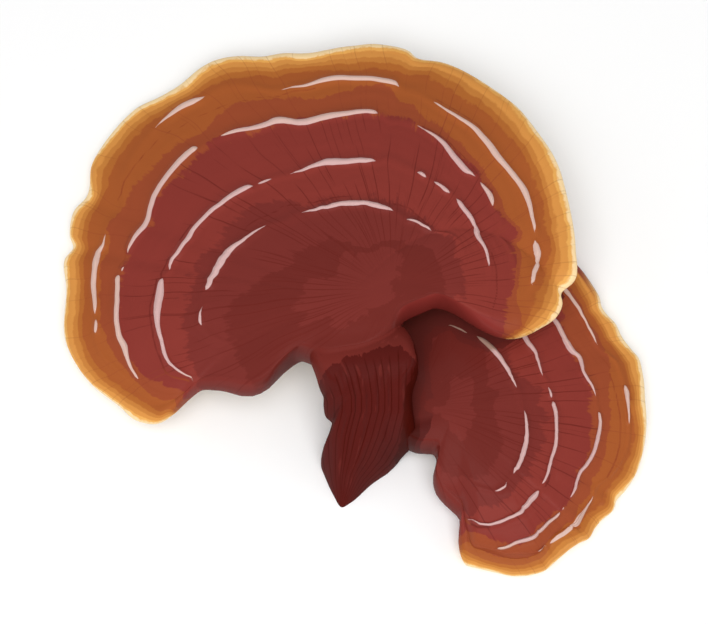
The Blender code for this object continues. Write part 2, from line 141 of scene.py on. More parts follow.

# ---- growth ridges: heading, age, and half the width of the painted highlight on the crest ----
# The width is a share of full growth, like the age; 0 where the crest has no painted highlight.
LARGE_RIDGES = (
    (
        (30, .53, 0), (45.5, .5, 0), (46.5, .475, .004), (47.5, .46, .006), (51, .445, .006),
        (53, .435, .006), (55, .422, .004), (56.3, .414, 0), (60, .408, 0), (63.5, .406, 0),
        (66, .403, .005), (69, .401, .0085), (73, .4, .0105), (76, .403, .01), (78.3, .412, .009),
        (80.5, .405, .009), (84, .403, .0105), (88, .412, .0105), (92, .42, .009), (96, .424, .0095),
        (100, .42, .007), (104, .418, .006), (108, .412, .004), (113.5, .407, 0), (120, .405, 0),
        (131, .409, 0), (134, .407, .002), (138, .409, .004), (142, .412, .005), (146, .418, .007),
        (148, .427, .0085), (150, .436, .0105), (152.3, .442, .0125), (155, .434, .0125),
        (157.5, .427, .0135), (160, .43, .0125), (162, .437, .012), (163.5, .44, .0125),
        (166, .432, .0105), (168, .429, .009), (170, .436, .008), (171.5, .442, 0), (174, .44, 0),
        (177.8, .432, 0), (180, .445, .003), (182, .458, .005), (183.5, .47, .005), (184.8, .48, 0),
        (190, .5, 0), (200, .52, 0),
    ),
    (
        (30, .67, 0), (36.5, .669, 0), (37.5, .669, .005), (39.5, .674, .008), (41.5, .668, .013),
        (43, .677, .0125), (44.3, .693, .012), (45.3, .702, .008), (46.3, .68, .009), (47.3, .66, .011),
        (48.3, .652, .0115), (50, .65, .0105), (51.5, .648, .009), (53.2, .645, 0), (54.8, .638, 0),
        (55.6, .631, .007), (57.5, .62, .0065), (59, .612, .005), (60, .608, 0), (62.2, .601, 0),
        (63, .6, .0055), (64.5, .598, .0055), (65.5, .594, 0), (70, .592, 0), (78.7, .591, 0),
        (80.5, .58, .006), (82.5, .576, .0095), (85, .577, .01), (88, .583, .011), (91, .59, .012),
        (94, .6, .0135), (96.5, .606, .0125), (99, .602, .0095), (101.5, .592, .007),
        (104.5, .586, .0055), (107.5, .577, .003), (110.8, .567, 0), (114, .565, 0), (117, .568, 0),
        (118.5, .57, .003), (120, .574, .004), (121.5, .579, .003), (122.5, .581, 0), (124, .581, 0),
        (124.8, .582, .005), (126.5, .582, .0085), (128.5, .579, .0095), (131, .572, .009),
        (134, .568, .008), (137, .567, .0075), (140, .572, .0075), (143, .574, .007), (146, .579, .007),
        (148, .587, .0075), (150, .595, .008), (152.3, .597, .009), (154.5, .592, .008),
        (156.5, .583, .007), (158.5, .585, .007), (160.5, .597, .007), (162.5, .611, .006),
        (163.5, .614, .005), (164.5, .605, .003), (165.3, .597, 0), (167, .6, 0), (168, .605, 0),
        (169.3, .613, .009), (171, .616, .0135), (173, .612, .0165), (175, .607, .016),
        (177, .605, .015), (179, .612, .0125), (181, .625, .01), (183, .643, .009), (184.3, .66, .0085),
        (185.3, .68, .009), (186.3, .703, .01), (187.3, .718, .009), (188.5, .73, .0075),
        (190, .742, .0065), (191.5, .758, .0055), (193, .775, .0045), (194.5, .79, .004),
        (196, .808, .003), (197.7, .83, 0), (205, .85, 0),
    ),
    (
        (30, .79, 0), (45, .8, 0), (50.2, .773, 0), (51, .776, .006), (52.8, .78, .011),
        (54.5, .772, .006), (55.7, .769, 0), (56.5, .765, 0), (57.1, .757, .004), (58, .745, .011),
        (59.5, .738, .0125), (61.5, .739, .0115), (64, .746, .01), (66.5, .753, .008), (69, .759, .005),
        (71.5, .762, .002), (73.5, .764, 0), (78, .765, 0), (81.7, .766, 0), (82.3, .767, .005),
        (84.5, .768, .0075), (88, .772, .009), (91.5, .775, .01), (94.5, .78, .0115), (97, .779, .0115),
        (99, .774, .012), (101, .766, .012), (102.5, .766, .0115), (104.5, .777, .012),
        (106.2, .783, .0125), (108, .779, .0115), (110, .769, .0095), (112.5, .762, .0085),
        (114.5, .762, .0075), (117, .77, .007), (119, .781, .006), (121, .793, .004), (123, .801, 0),
        (125.5, .8, 0), (128.8, .793, 0), (129.3, .793, .006), (131, .787, .009), (133.5, .78, .0095),
        (136.5, .775, .009), (140, .772, .0085), (144, .769, .0085), (147, .768, .009),
        (150, .772, .009), (153, .768, .0095), (155, .759, .01), (156.5, .756, .009),
        (158.5, .764, .007), (160.5, .777, .005), (162.5, .79, 0), (164.5, .78, 0), (166, .772, 0),
        (167, .774, .004), (167.7, .777, 0), (168.5, .79, 0), (168.9, .795, .0065), (170.5, .801, .01),
        (172.5, .799, .0105), (174.5, .79, .0115), (176.5, .786, .0115), (178.5, .792, .012),
        (180.5, .806, .0135), (182.3, .815, .016), (183.3, .835, .013), (184.3, .86, .01),
        (185.3, .885, .009), (186.3, .905, .007), (187, .912, 0), (190, .92, 0), (200, .93, 0),
    ),
    (
        (38, .87, 0), (39.9, .893, 0), (40.2, .897, .006), (40.9, .906, .009), (41.7, .918, .009),
        (42.8, .94, .0085), (44.4, .964, .008), (45.7, .964, .012), (46.2, .947, .02),
        (46.6, .929, .012), (46.9, .92, 0), (47.5, .915, 0), (48.3, .911, .003), (49, .914, .006),
        (51, .917, .0075), (53, .918, .011), (54.5, .915, .0135), (56, .901, .013), (57.5, .886, .012),
        (59.5, .873, .0125), (62, .875, .0115), (65, .875, .009), (67.5, .87, .007), (70, .87, .005),
        (72, .873, .003), (73.7, .877, 0), (76, .89, 0), (79, .898, 0), (80, .896, .007),
        (81.5, .893, .009), (84, .893, .0085), (86.5, .897, .0085), (89, .905, .0085), (92, .914, .009),
        (95, .917, .0085), (97.5, .911, .006), (100, .902, .004), (102.5, .897, .002), (105.5, .897, 0),
        (112, .92, 0), (120, .939, 0), (121, .943, .004), (122.5, .95, .009), (124.5, .953, .009),
        (127, .947, .007), (129.5, .937, .004), (131.5, .928, .002), (133, .923, 0), (145, .9, 0),
        (157.7, .875, 0), (159.5, .882, .002), (161.5, .894, .0055), (162.7, .914, .009),
        (163.7, .925, .0115), (165, .913, .0135), (166.3, .899, .0145), (167.5, .898, .012),
        (169, .908, .0125), (171, .918, .013), (173, .908, .011), (174.7, .897, .008), (175.7, .894, 0),
        (176.3, .89, 0), (176.8, .89, .006), (177.6, .895, .009), (178.3, .905, .007), (178.6, .91, 0),
        (184, .94, 0), (187, .955, 0), (200, .96, 0),
    ),
)
SMALL_RIDGES = (
    (
        (282, .4, 0), (298.3, .378, 0), (300, .374, .004), (302.5, .367, .005), (305, .362, .004),
        (307.8, .357, 0), (311, .357, 0), (314, .36, 0), (316, .357, .005), (318.5, .35, .009),
        (320.5, .346, .01), (323, .349, .01), (326, .351, .011), (329, .345, .012), (332, .341, .012),
        (335, .347, .012), (338, .346, .011), (341, .34, .0105), (344, .337, .009), (348, .333, .0075),
        (352, .333, .007), (356, .335, .006), (360, .339, .004), (364, .343, 0), (372, .343, 0),
        (383.5, .348, 0), (386, .353, .003), (389, .36, .005), (392, .361, .006), (395, .368, .0075),
        (398, .375, .01), (400, .376, .011), (402, .37, .0105), (405.5, .367, .0105),
        (411, .369, .0125), (415.5, .371, .0135), (419.6, .374, .014), (423.4, .376, .013),
        (426.9, .379, .011), (430.2, .382, .007), (432.3, .386, .002), (433, .388, 0), (439.5, .399, 0),
        (440.3, .402, .002), (443.7, .426, .005), (446.4, .448, .005), (448.8, .472, .004),
        (451.2, .498, .0015), (452, .505, 0), (460, .52, 0),
    ),
    (
        (282, .84, 0), (284.5, .815, .002), (285.5, .775, .003), (287, .71, .0035), (288.5, .675, .006),
        (290.3, .662, .0095), (292, .652, .0095), (293.5, .632, .0105), (295.3, .602, .0115),
        (297.5, .57, .0105), (299.5, .549, .01), (301.5, .538, .0095), (304, .53, .0115),
        (307, .53, .0145), (310, .533, .0165), (313, .536, .018), (315.5, .536, .0145),
        (317, .532, .0065), (317.9, .53, 0), (320, .515, 0), (321.4, .509, 0), (323, .516, .005),
        (325.5, .519, .0065), (328, .515, .008), (330, .503, .009), (331.7, .498, .009),
        (333.5, .502, .009), (336, .505, .0085), (339, .501, .009), (343, .497, .0095),
        (347, .492, .009), (351, .491, .0085), (355, .494, .009), (359, .501, .0095),
        (362, .508, .0105), (365, .513, .011), (367.3, .512, .009), (369, .511, 0), (371, .506, 0),
        (372, .505, .0045), (374.5, .502, .005), (376.5, .5, .003), (378, .498, 0), (382, .503, 0),
        (384.5, .507, 0), (387, .517, .003), (389.5, .527, .0055), (392.5, .534, .0065),
        (395, .547, .008), (397, .559, .009), (399.5, .565, .01), (401.5, .556, .0115),
        (404, .547, .0125), (408.5, .547, .014), (412, .545, .013), (416, .54, 0), (430, .54, 0),
    ),
    (
        (290, .93, 0), (294.3, .895, 0), (295, .87, .014), (296.3, .833, .017), (297.7, .793, .017),
        (299, .762, .017), (300.5, .744, .0175), (303, .741, .0195), (305, .743, .019),
        (307, .755, .0185), (309, .761, .018), (312, .772, .017), (314.5, .778, .014),
        (316, .777, .0135), (317.2, .769, .007), (317.8, .76, 0), (319, .738, 0), (319.7, .734, .005),
        (320.5, .726, 0), (323, .735, 0), (325, .741, 0), (326, .743, .004), (327.7, .739, .0085),
        (329.5, .722, .0115), (331, .707, .011), (332.3, .703, .01), (333.5, .708, .011),
        (335, .713, .0115), (338, .717, .0125), (341, .725, .0125), (345, .732, .0125),
        (349, .739, .012), (352.5, .746, .013), (355.5, .757, .012), (358.5, .767, .0105),
        (361, .772, .009), (362.7, .772, .005), (363.2, .77, 0), (366, .77, 0), (369.3, .768, 0),
        (371, .763, .003), (374, .747, .007), (377, .728, .0085), (379, .717, .0085), (381, .714, .008),
        (383, .729, .0105), (385.5, .749, .0125), (388, .759, .0135), (390.5, .746, .017),
        (392.5, .74, .0185), (395, .75, .017), (397.5, .76, .0145), (399.5, .762, .0145),
        (402, .753, .014), (405, .747, .0125), (409, .745, 0), (420, .745, 0),
    ),
    (
        (290, .96, 0), (302, .91, 0), (304, .942, 0), (304.9, .955, .011), (305.9, .971, .012),
        (306.4, .985, .009), (307, 1.003, .003), (307.4, 1.004, 0), (308, 1.0045, 0),
        (308.6, 1.005, .002), (309.9, 1.006, .0035), (312.1, 1.0085, .0045), (314.5, 1.008, .0045),
        (316.2, 1.006, .0052), (317.2, 1.004, .0068), (317.6, .9985, .017), (318, .99, .034),
        (318.7, .975, .042), (320.2, .953, .047), (321.2, .944, .046), (322.2, .945, .041),
        (323.3, .946, .034), (324.3, .946, .026), (325.3, .944, .021), (326.3, .941, .017),
        (327.6, .932, .012), (330.2, .899, .004), (331.5, .885, 0), (340, .93, 0), (359, .978, 0),
        (361, .979, .005), (364, .985, .0075), (366.5, .988, .0115), (368.5, .981, .014),
        (370.5, .972, .016), (372, .962, .009), (373, .957, 0), (380, .93, 0), (388.8, .903, 0),
        (391, .902, .005), (393, .903, .007), (395, .914, .007), (397, .925, .0065), (399, .93, .007),
        (401, .92, .009), (403, .912, .01), (407, .907, .01), (411, .905, .009), (412, .905, 0),
        (430, .9, 0),
    ),
)
# Hair-thin dark growth lines: heading and age.
LARGE_LINES = (
    ((48, .47), (52, .468), (58, .457), (63, .442), (66, .43)),
    ((86, .437), (90, .448), (96, .46), (100, .452), (108, .45)),
    ((112, .44), (120, .46), (125, .455), (130, .445), (140, .443)),
    ((148, .605), (150.5, .617), (152.5, .622), (154.5, .615)),
    ((160.5, .612), (162.5, .628), (163.8, .632), (166, .618), (168, .61)),
    (
        (168.5, .63), (171, .638), (178, .637), (180, .645), (182, .66), (184, .69), (186, .73),
        (188, .76), (190, .79), (193, .8), (195, .82),
    ),
    ((86, .785), (90, .795), (94, .8), (98, .803)),
    ((157, .78), (160, .792), (163, .803), (164.5, .8), (167, .79)),
    (
        (97, .895), (101, .885), (107, .873), (113, .865), (116, .865), (119, .88), (121, .893),
        (123, .897), (129, .89), (136, .883), (144, .887), (149, .895), (151, .91),
    ),
    ((64, .895), (68, .89), (73, .888)),
    ((30, .7), (34, .708), (36, .703), (40, .7)),
    ((57, .775), (62, .77), (72, .77)),
)
SMALL_LINES = (
    (
        (340, .92), (345, .91), (355, .907), (360, .912), (365, .92), (368, .912), (371, .895),
        (374, .88), (377, .868), (385, .87),
    ),
    ((322, .535), (325, .542), (328, .53)),
    ((284, .86), (286, .8), (288, .72), (290, .69), (293, .66)),
)
# Where one colour of the lacquer gives way to the next: heading, then the ages at which the
# mid red, bright red, rust, orange, tan and cream bands end inwards.
LARGE_BANDS = (
    (0, .5, .8, .84, .95, 1.01), (27, .54, .8, .84, .95, 1), (30, .54, .8, .82, .85, .88),
    (31.4, .54, .778, .8, .803, .806), (32.2, .54, .757, .785, .787, .791),
    (33.1, .53, .763, .793, .797, .806), (34.5, .53, .781, .817, .82, .83),
    (35.7, .52, .786, .835, .838, .852), (36.8, .52, .783, .802, .853, .875),
    (38.2, .52, .799, .81, .876, .909), (39.4, .52, .807, .82, .907, .944),
    (41, .52, .823, .842, .945, .987), (42.5, .52, .844, .86, .976, 1.021),
    (43.5, .52, .853, .87, .99, 1.028), (45.3, .5, .866, .872, 1.003, 1.034),
    (46.6, .5, .86, .872, .985, 1.034), (48.2, .47, .805, .82, .968, 1.028),
    (52, .46, .805, .815, .97, 1.026), (57, .455, .79, .8, .962, 1.026),
    (62, .445, .772, .79, .952, 1.025), (67, .44, .765, .79, .945, 1.03),
    (72, .435, .765, .8, .945, 1.036), (77, .43, .785, .84, .962, 1.027),
    (81, .42, .77, .87, .94, 1.02), (86, .415, .77, .865, .93, 1.012),
    (92, .43, .775, .855, .945, 1.01), (98, .435, .785, .855, .96, 1.003),
    (102, .43, .775, .86, .945, 1.008), (107, .425, .79, .86, .95, 1.006),
    (113, .44, .77, .855, .945, 1.012), (119, .49, .785, .86, .955, 1.005),
    (125, .5, .8, .84, .965, 1.004), (130, .5, .775, .83, .95, 1.005),
    (136, .49, .745, .83, .95, 1.005), (142, .485, .75, .83, .948, 1.015),
    (148, .49, .765, .86, .95, 1.044), (153, .5, .765, .88, .97, 1.009),
    (157, .5, .755, .87, .952, 1.014), (160, .5, .775, .86, .955, 1.029),
    (163.5, .51, .795, .88, .975, 1.026), (167, .49, .775, .87, .955, 1.024),
    (171, .49, .795, .88, .965, 1.034), (176, .48, .785, .865, .962, 1.038),
    (180, .51, .8, .87, .985, 1.05), (184, .55, .84, .89, 1, 1.047), (188, .6, .87, .93, 1, 1.041),
    (192, .68, .86, .95, .99, 1.021), (195, .75, .9, .945, .965, .992), (198, .8, .9, .96, 1, 1.05),
    (205, .8, .9, .96, 1, 1.05),
)
SMALL_BANDS = (
    (283, .8, .95, .98, .99, 1.03), (286, .7, .94, .99, 1.005, 1.04), (288, .6, .8, .99, 1.01, 1.045),
    (290, .52, .745, .99, 1.015, 1.045), (293, .5, .77, 1, 1.018, 1.046),
    (297, .46, .79, 1, 1.015, 1.049), (303, .42, .74, 1, 1.01, 1.05),
    (306, .41, .71, .99, 1.008, 1.049), (312, .42, .735, .98, 1.005, 1.054),
    (318, .42, .72, .91, 1.008, 1.054), (325, .42, .74, .86, 1, 1.046),
    (330, .42, .715, .84, 1.01, 1.047), (336, .41, .7, .82, 1.005, 1.032),
    (345, .44, .7, .815, 1, 1.043), (352, .4, .7, .81, 1.005, 1.037),
    (358, .46, .73, .835, 1.005, 1.032), (364, .46, .72, .85, 1, 1.026), (370, .4, .76, .85, 1, 1.022),
    (377, .45, .725, .87, .975, 1.027), (381, .43, .715, .89, .96, 1.024),
    (387, .42, .735, .92, .975, 1.017), (391, .41, .735, .93, .96, 1.023),
    (398, .4, .785, .94, .985, 1.021), (402, .4, .8, .94, .965, 1.027),
    (410, .42, .82, .94, .975, 1.032), (440, .5, .85, .95, .98, 1.03),
)
# The darker core band of each cap: heading, and the ages where it starts and ends.
LARGE_CORE = (
    (0, .26, .47), (10, .27, .47), (20, .23, .5), (30, .24, .44), (40, .28, .4), (50, .29, .33),
    (60, .24, .25), (75, .2, .2), (85, .22, .235), (92, .2, .265), (100, .155, .275), (110, .14, .27),
    (120, .115, .265), (130, .11, .25), (140, .13, .235), (150, .15, .235), (160, .13, .26),
    (170, .12, .29), (176, .12, .32), (184.5, .13, .38), (193.5, .17, .48), (202.5, .17, .54),
    (211, .2, .54), (220, .16, .5), (229, .12, .5), (247, .14, .5), (265, .17, .5), (283, .16, .5),
    (301, .16, .5), (310, .13, .5), (320, .16, .5), (333, .14, .5), (346, .25, .5),
)
SMALL_CORE = (
    (6, .1, .18), (18, .1, .22), (30, .1, .24), (42, .14, .24), (54, .16, .28), (66, .2, .36),
    (78, .14, .36), (90, .16, .5), (102, .1, .5), (114, .08, .5), (126, .05, .5), (150, .05, .5),
    (162, .08, .5), (186, .06, .5), (210, .08, .5), (234, .07, .5), (246, .09, .5), (258, .12, .5),
    (270, .16, .5), (282, .15, .45), (294, .1, .3), (306, .07, .26), (318, .08, .24), (330, .09, .22),
    (342, .08, .2), (354, .1, .18),
)
# Where the small cap darkens towards the crease beside the stalk and under the large cap:
# heading, and the ages where the deep shade and the darkest shade start and where both end.
SMALL_SHADE = (
    (0, 1.3, 1.4, .84), (40, 1.3, 1.4, .84), (47.5, 1.3, 1.4, .84), (49, .58, .6, .84),
    (50.5, .52, .54, .84), (52, .478, .5, .84), (53.7, .425, .475, .84), (56.4, .4, .445, .84),
    (58.4, .382, .408, .84), (61.5, .364, .376, .84), (65.9, .352, .362, .84), (70.5, .344, .355, .84),
    (75.8, .344, .354, .84), (80, .354, .367, .84), (85.3, .38, .412, .84), (89.5, .442, .462, .84),
    (92.5, .477, .497, .84), (96.1, .505, .555, .84), (99.2, .525, .605, .86), (102, .535, .595, .9),
    (105, .45, .6, .95), (107.9, .43, .568, 1.1), (110.6, .405, .478, 1.15), (114.6, .335, .4, 1.2),
    (119, .27, .334, 1.2), (122.8, .237, .281, 1.2), (129.7, .18, .234, 1.2), (138, .15, .209, 1.2),
    (148, .16, .203, 1.2), (157.4, .181, .212, 1.2), (165, .19, .219, 1.2), (174, .186, .228, 1.2),
    (178.6, .15, .25, 1.2), (186, .134, .25, 1.2), (193, .15, .249, 1.2), (200, .164, .272, 1.2),
    (206, .178, .3, 1.2), (213, .21, .335, 1.2), (217, .262, .363, 1.2), (220, .32, .4, 1.2),
    (224, .34, .44, 1.2), (235, .5, .6, 1.2), (245, .8, .9, 1.2), (262, 1.3, 1.4, 1.2),
)
# Headings between which the large cap's edge runs along the dark arch over the small cap, and
# between which the small cap lies in its shade. The painted shade fades in and out.
LARGE_ARCH_SHADE = (-30, -16, 29, 33)
SMALL_ARCH_SHADE = (40, 52, 185, 200)
# The line where the stalk's dark lacquer gives way to the cap's colour: x and y.
STEM_DARK_EDGE = (
    (-9.9, -26.1), (-7, -23.5), (-2.3, -21.2), (2.3, -20.2), (7.6, -18.8), (9.3, -18), (14, -18),
    (14.4, -20), (16.3, -21.6), (18.7, -23.6),
)
# The stalk's right side, with painted shade of the crease beside the small cap from this line on: y and
# x.
STEM_CREASE_SHADE = (
    (-56, 22), (-46, 14.5), (-43.3, 12), (-41.8, 13.3), (-38.6, 14), (-32.8, 14.5), (-29.2, 15.1),
    (-26.8, 16.5), (-24, 18), (-22, 18.4), (-17, 17.4), (-12.5, 15.9), (-9, 15.4),
)

# ---- fine detail of the scene's own meshes ----
NOSE_AGES = 0.06               # ages beyond the edge's, given to the rounded nose
CREST_LIMITS = (0.80, 0.86, 0.91, 0.955)  # the most that a ridge's ring has of the edge's age
RING_EASE = 0.6                # how strongly the rings crowd at the ridges
RIDGE_LEAST = 0.35             # height share kept by a ridge whose crest has no painted highlight
RIDGE_FULL_WIDTH = 0.008       # crest width from which a ridge has its full height
FURROW_DEPTH = 0.15            # of the dip outside each ridge
FURROW_PLACE = 1.7             # of its middle, in half widths of the ridge
CREST_RISE = 0.3               # how far a pale crest stands proud of its ridge, in mm
WRINKLE_DEPTH = 0.05           # of the fine folds across the margin, in mm
FOLDS = (                      # strength, number round the cap, sway, sways round the cap, shift
    (1, 83, 3, 5, 0), (0.7, 59, 2, 3, 1), (0.5, 127, 4, 2, 0),
)
SMALL_SMOOTH_TURNS = (150, 170, 345, 355)  # past heading -90: where the small cap's relief fades
# out under the large cap, and where it comes back
LINE_HALF_WIDTH = 0.34         # of a dark growth line, in mm
LEAST_HALF_WIDTH = 0.02        # of a crest that is still drawn, in mm
PATH_STEP = 0.25               # between points on a crest or line, in degrees
AGE_STEP = 0.004               # for measuring how far apart the rings lie
FAR = 9.0                      # from any crest or line, in mm
OUTER_AGE = 1.2                # beyond all growth: where the last colour band ends
LEAST_BAND = 0.0005            # of a colour band's width, in ages
SHADE_RUN_IN = 0.3             # ages over which the crease's shade rises to its first edge
SHADE_RUN_ON = 0.03            # and beyond its darkest edge
SHADE_RUN_OUT = 0.02           # and where it ends
CAP_NOSE_POINTS = 27           # round the edge, from the upper side to the underside
CAP_UNDER_RINGS = (0.96, 0.9, 0.82, 0.74, 0.66, 0.58, 0.5, 0.42, 0.34, 0.26, 0.18, 0.1)
LARGE_RING_COUNTS = (26, 28, 30, 22, 20)  # from the middle to the first ridge, and so on
SMALL_RING_COUNTS = (20, 20, 24, 20, 16)
LARGE_FAN = (27, 207, 0.45)    # headings with fine detail: from, to and step
SMALL_FAN = (-76, 104, 0.6)
LOOSE_HEADING_STEP = 2.25
STEM_HEADING_STEP = 1.2
STEM_RINGS = 60
STEM_NOSE_POINTS = 37
STEM_UNDER_RINGS = 9
STEM_SMOOTHING = (-2.4, -1.6, -0.8, 0, 0.8, 1.6, 2.4)
STEM_GRAIN_WIDTH = 22
STEM_FIBRES = (                # height, pitch, sway, length of a sway, shift
    (0.13, 1.9, 1.5, 6, 0), (0.07, 1.15, 2, 9, 1),
)
STEM_EDGES = (                 # the stalk's two sides seen from above: y, left x, right x
    (-57, -5, -3), (-53, -6.2, 1.5), (-49.5, -7.5, 5), (-45, -8.8, 11), (-40.5, -9.3, 15),
    (-35, -7.5, 17), (-31.5, -7.5, 17), (-26, -10, 17.5), (-20, -14, 18), (-5, -22, 22),
)
WELD_WIDTH = 3.0               # over which the stalk runs smoothly into the large cap, in mm
WELD_REACH = 8.0               # how deep inside the other piece a point may lie and still sink
WELD_SINK = 0.5                # share of that depth that it sinks

# ---- colours of the lacquer from the middle out, as sRGB ----
# painted shade in the crease between the stalk and the small cap
CREASE_SHADE = "481a16"
HOLLOW_SHADE = "612723"              # painted shade in the hollow, lighter where less light reaches it
# painted shade at the edge of the hollow's, lighter where less light reaches it
DEEP_IN_SHADE = "672b27"
# painted shade on the large cap's wall over the arch
ARCH_SHADE = "84302b"
DEEP = "56201d"
CORE = "6f2d28"
MID = "78322d"
RED = "873831"
RUST = "974a2f"
ORANGE = "a3582e"
TAN = "b06832"
BROWN_OCHRE = "c27d3d"
OCHRE = "d49049"
LIGHT_OCHRE = "e6a95a"
CREAM = "fbdba6"
IVORY = "fff1d6"
# painted highlights along the ridge crests: on red, on orange, and dimmer in the painted shade
PAINTED_HIGHLIGHT_ON_RED = "d0aba8"
PAINTED_HIGHLIGHT_ON_ORANGE = "d6b5a9"
PAINTED_HIGHLIGHT_IN_SHADE = "a68576"
PORES = "ead6b4"
STAINED_PORES = "d9bd8e"
PORE_HOLES = "b8935f"
GRAIN = "4a1915"
FIBRE = "6a2823"
FIBRE_ON_ORANGE = "8a3f2c"
LINE_ON_ORANGE = "8f4429"
GLOSS = 0.004                  # white light that the coat's reflection adds to each linear channel
STALK_GLOSS = 0.005

# ---- the lacquer's pattern ----
BAND_SOFTNESS = 0.05           # width of the change between two colour bands
BAND_COLORS = (
    (0, MID), (1, CORE), (2, MID), (3, RED), (4, RUST), (5, ORANGE), (6, TAN), (6.3, BROWN_OCHRE),
    (6.55, OCHRE), (6.85, LIGHT_OCHRE), (7, CREAM), (7.25, IVORY),
)
BAND_SPAN = 8
ORANGE_AGES = (0.76, 0.8)      # where fibres and growth lines change to their colour on orange
HIGHLIGHT_AGES = (0.74, 0.8)        # and where the painted highlights on the crests do
LARGE_FIBRE_CENTRE = (11, -1)  # x and y that the fibres run out from
SMALL_FIBRE_CENTRE = (18, -31)
FIBRES = (                     # fibres per radian, seed, where stretches start and are full, strength
    (12.0, 7.0, 0.45, 0.53, 0.85),
    (26.0, 3.0, 0.56, 0.62, 0.6),
)
FIBRE_EDGES = (0.06, 0.22)     # from a fibre's middle, where it fades out, in mm
FIBRE_RADII = (6.0, 20.0)      # from the middle, between which the fibres set in
STREAKS_PER_RADIAN = 40.0
PATCHES_PER_RADIAN = 7.0
BLOT_SCALE = 0.22              # blots per mm
STREAK_PUSH = 0.45             # how far the streaks push a band's edge, in bands
PATCH_PUSH = 0.35
COMBED_RADII = (12.0, 26.0)    # between which streaks and patches set in
CALM_BANDS = (5.6, 6.2, 1.0, 0.2)  # between these bands, their share falls from 1 to 0.2
BLOT_PUSH = (12.0, 30.0, 1.1, 0.3)  # between these radii, the blots' push falls from 1.1 to 0.3
LINE_EDGES = (-0.25, 0.05)     # across a growth line's edge, where it fades out, in mm
LINE_STRENGTH = 0.9
CREST_EDGES = (-0.08, 0.08)
WALL_SHADE_STRENGTH = 0.3            # of the painted shade on the notches' walls
PORES_PER_MM = 1.7
PORE_EDGES = (0.12, 0.3)       # from a pore's middle, where it fades out, in pores
PORE_STRENGTH = 0.55
STRANDS_PER_MM = 0.55          # dark lines along the stalk
STRAND_EDGES = (0.04, 0.12)

# ---- stage, light and camera, in m and W ----
FLOOR_SIZE = 3.0
LIGHTS = (                     # name, azimuth, elevation, distance, size, power, seen in the gloss
    ("front light", 268, 68, 1.3, 1.2, 12.5, False),
    ("front sheen", 265, 60, 1.3, 1.2, 2.8, True),
    ("left light", 195, 28, 1.3, 1.1, 2.2, False),
    ("right light", 345, 28, 1.3, 1.1, 2.0, False),
)
WORLD_STRENGTH = 0.35
CAMERA_TARGET = (0.0006, -0.0061, 0.015)
CAMERA_ELEVATION = 70
CAMERA_DISTANCE = 0.708
CAMERA_LENS = 120
CAMERA_SENSOR_WIDTH = 36


def closed_curve(table, heading):
    """Values of a table that closes on itself, on a smooth curve through its rows."""
    rows = np.array(table, float)
    keys = np.concatenate((rows[-2:, 0] - 360, rows[:, 0], rows[:2, 0] + 360))
    values = np.concatenate((rows[-2:, 1:], rows[:, 1:], rows[:2, 1:]))
    spans = np.diff(keys)[:, None]
    slopes = np.diff(values, axis=0) / spans
    bends = (slopes[1:] * spans[:-1] + slopes[:-1] * spans[1:]) / (spans[1:] + spans[:-1])
    bends = np.concatenate((slopes[:1], bends, slopes[-1:]))
    turned = np.mod(np.asarray(heading, float) - rows[0, 0], 360) + rows[0, 0]
    left = np.clip(np.searchsorted(keys, turned, side="right") - 1, 0, len(keys) - 2)
    width = spans[left, 0]
    share = ((turned - keys[left]) / width)[..., None]
    width = width[..., None]
    rest = 1 - share
    return (values[left] * (1 + 2 * share) * rest ** 2 + bends[left] * width * share * rest ** 2
            + values[left + 1] * share ** 2 * (3 - 2 * share)
            - bends[left + 1] * width * share ** 2 * rest)


def ring_distance(age, heading, crowding):
    """Share of the way to a margin at age 1 that growth of this age has reached."""
    least, swing, free_heading, most = crowding
    shift = least + swing * (1 - np.cos(np.radians(heading - free_heading)))
    return age + 4 * age * (1 - age) * np.minimum(shift, most)


def plan_point(shape, heading, share):
    """Point on a growth line, seen from above, and the edge's distance from the middle."""
    edge = closed_curve(shape.outline, heading)
    away = edge[..., :2] - np.array(shape.centre)
    reach = np.hypot(away[..., 0], away[..., 1])
    direction = np.degrees(np.arctan2(away[..., 1], away[..., 0]))
    lag = np.mod(direction - heading + 180, 360) - 180
    turned = np.radians(heading + lag * share ** 3)
    x = shape.centre[0] + share * reach * np.cos(turned)
    y = shape.centre[1] + share * reach * np.sin(turned)
    return x, y, reach


def share_at(age, heading, edge_age, nose_start, crowding):
    """Share of the way along a growth line, also on the rounded nose beyond the edge's age."""
    grown = ring_distance(np.minimum(age, edge_age), heading, crowding)
    plate = grown / ring_distance(edge_age, heading, crowding) * nose_start
    past = np.clip((age - edge_age) / NOSE_AGES, 0, 1)
    return plate + (1 - nose_start) * np.sin(0.5 * np.pi * past)


def bump_over(away):
    """A rounded bump: 1 at the middle and 0 from a distance of 1 on."""
    return 0.5 * (1 + np.cos(np.pi * np.minimum(np.abs(away), 1)))


def wholeness(edge_age):
    """Share of their height that ridges and folds keep: they fade out where the edge is young."""
    return np.clip((edge_age - RIDGE_FADE) / (1 - RIDGE_FADE), 0, 1)


def ridges(age, heading, edge_age, ridge_tables):
    """Rounded growth ridges, each with a shallow furrow on its outer side."""
    height = np.zeros_like(age)
    for table in ridge_tables:
        path = closed_curve(table, heading)
        away = (age - path[..., 0]) / RIDGE_HALF_WIDTH
        drawn = np.clip(path[..., 1] / RIDGE_FULL_WIDTH, 0, 1)
        share = RIDGE_LEAST + (1 - RIDGE_LEAST) * drawn * drawn * (3 - 2 * drawn)
        height += share * (RIDGE_HEIGHT * bump_over(away)
                           - FURROW_DEPTH * bump_over(away - FURROW_PLACE))
    return height * wholeness(edge_age)


def margin_wave(age, heading):
    """Slow rise and fall of the margin round the cap."""
    turned = np.radians(heading)
    wave = np.sin(7 * turned + 1) + 0.6 * np.sin(13 * turned)
    return WAVE_HEIGHT * wave * age ** 4


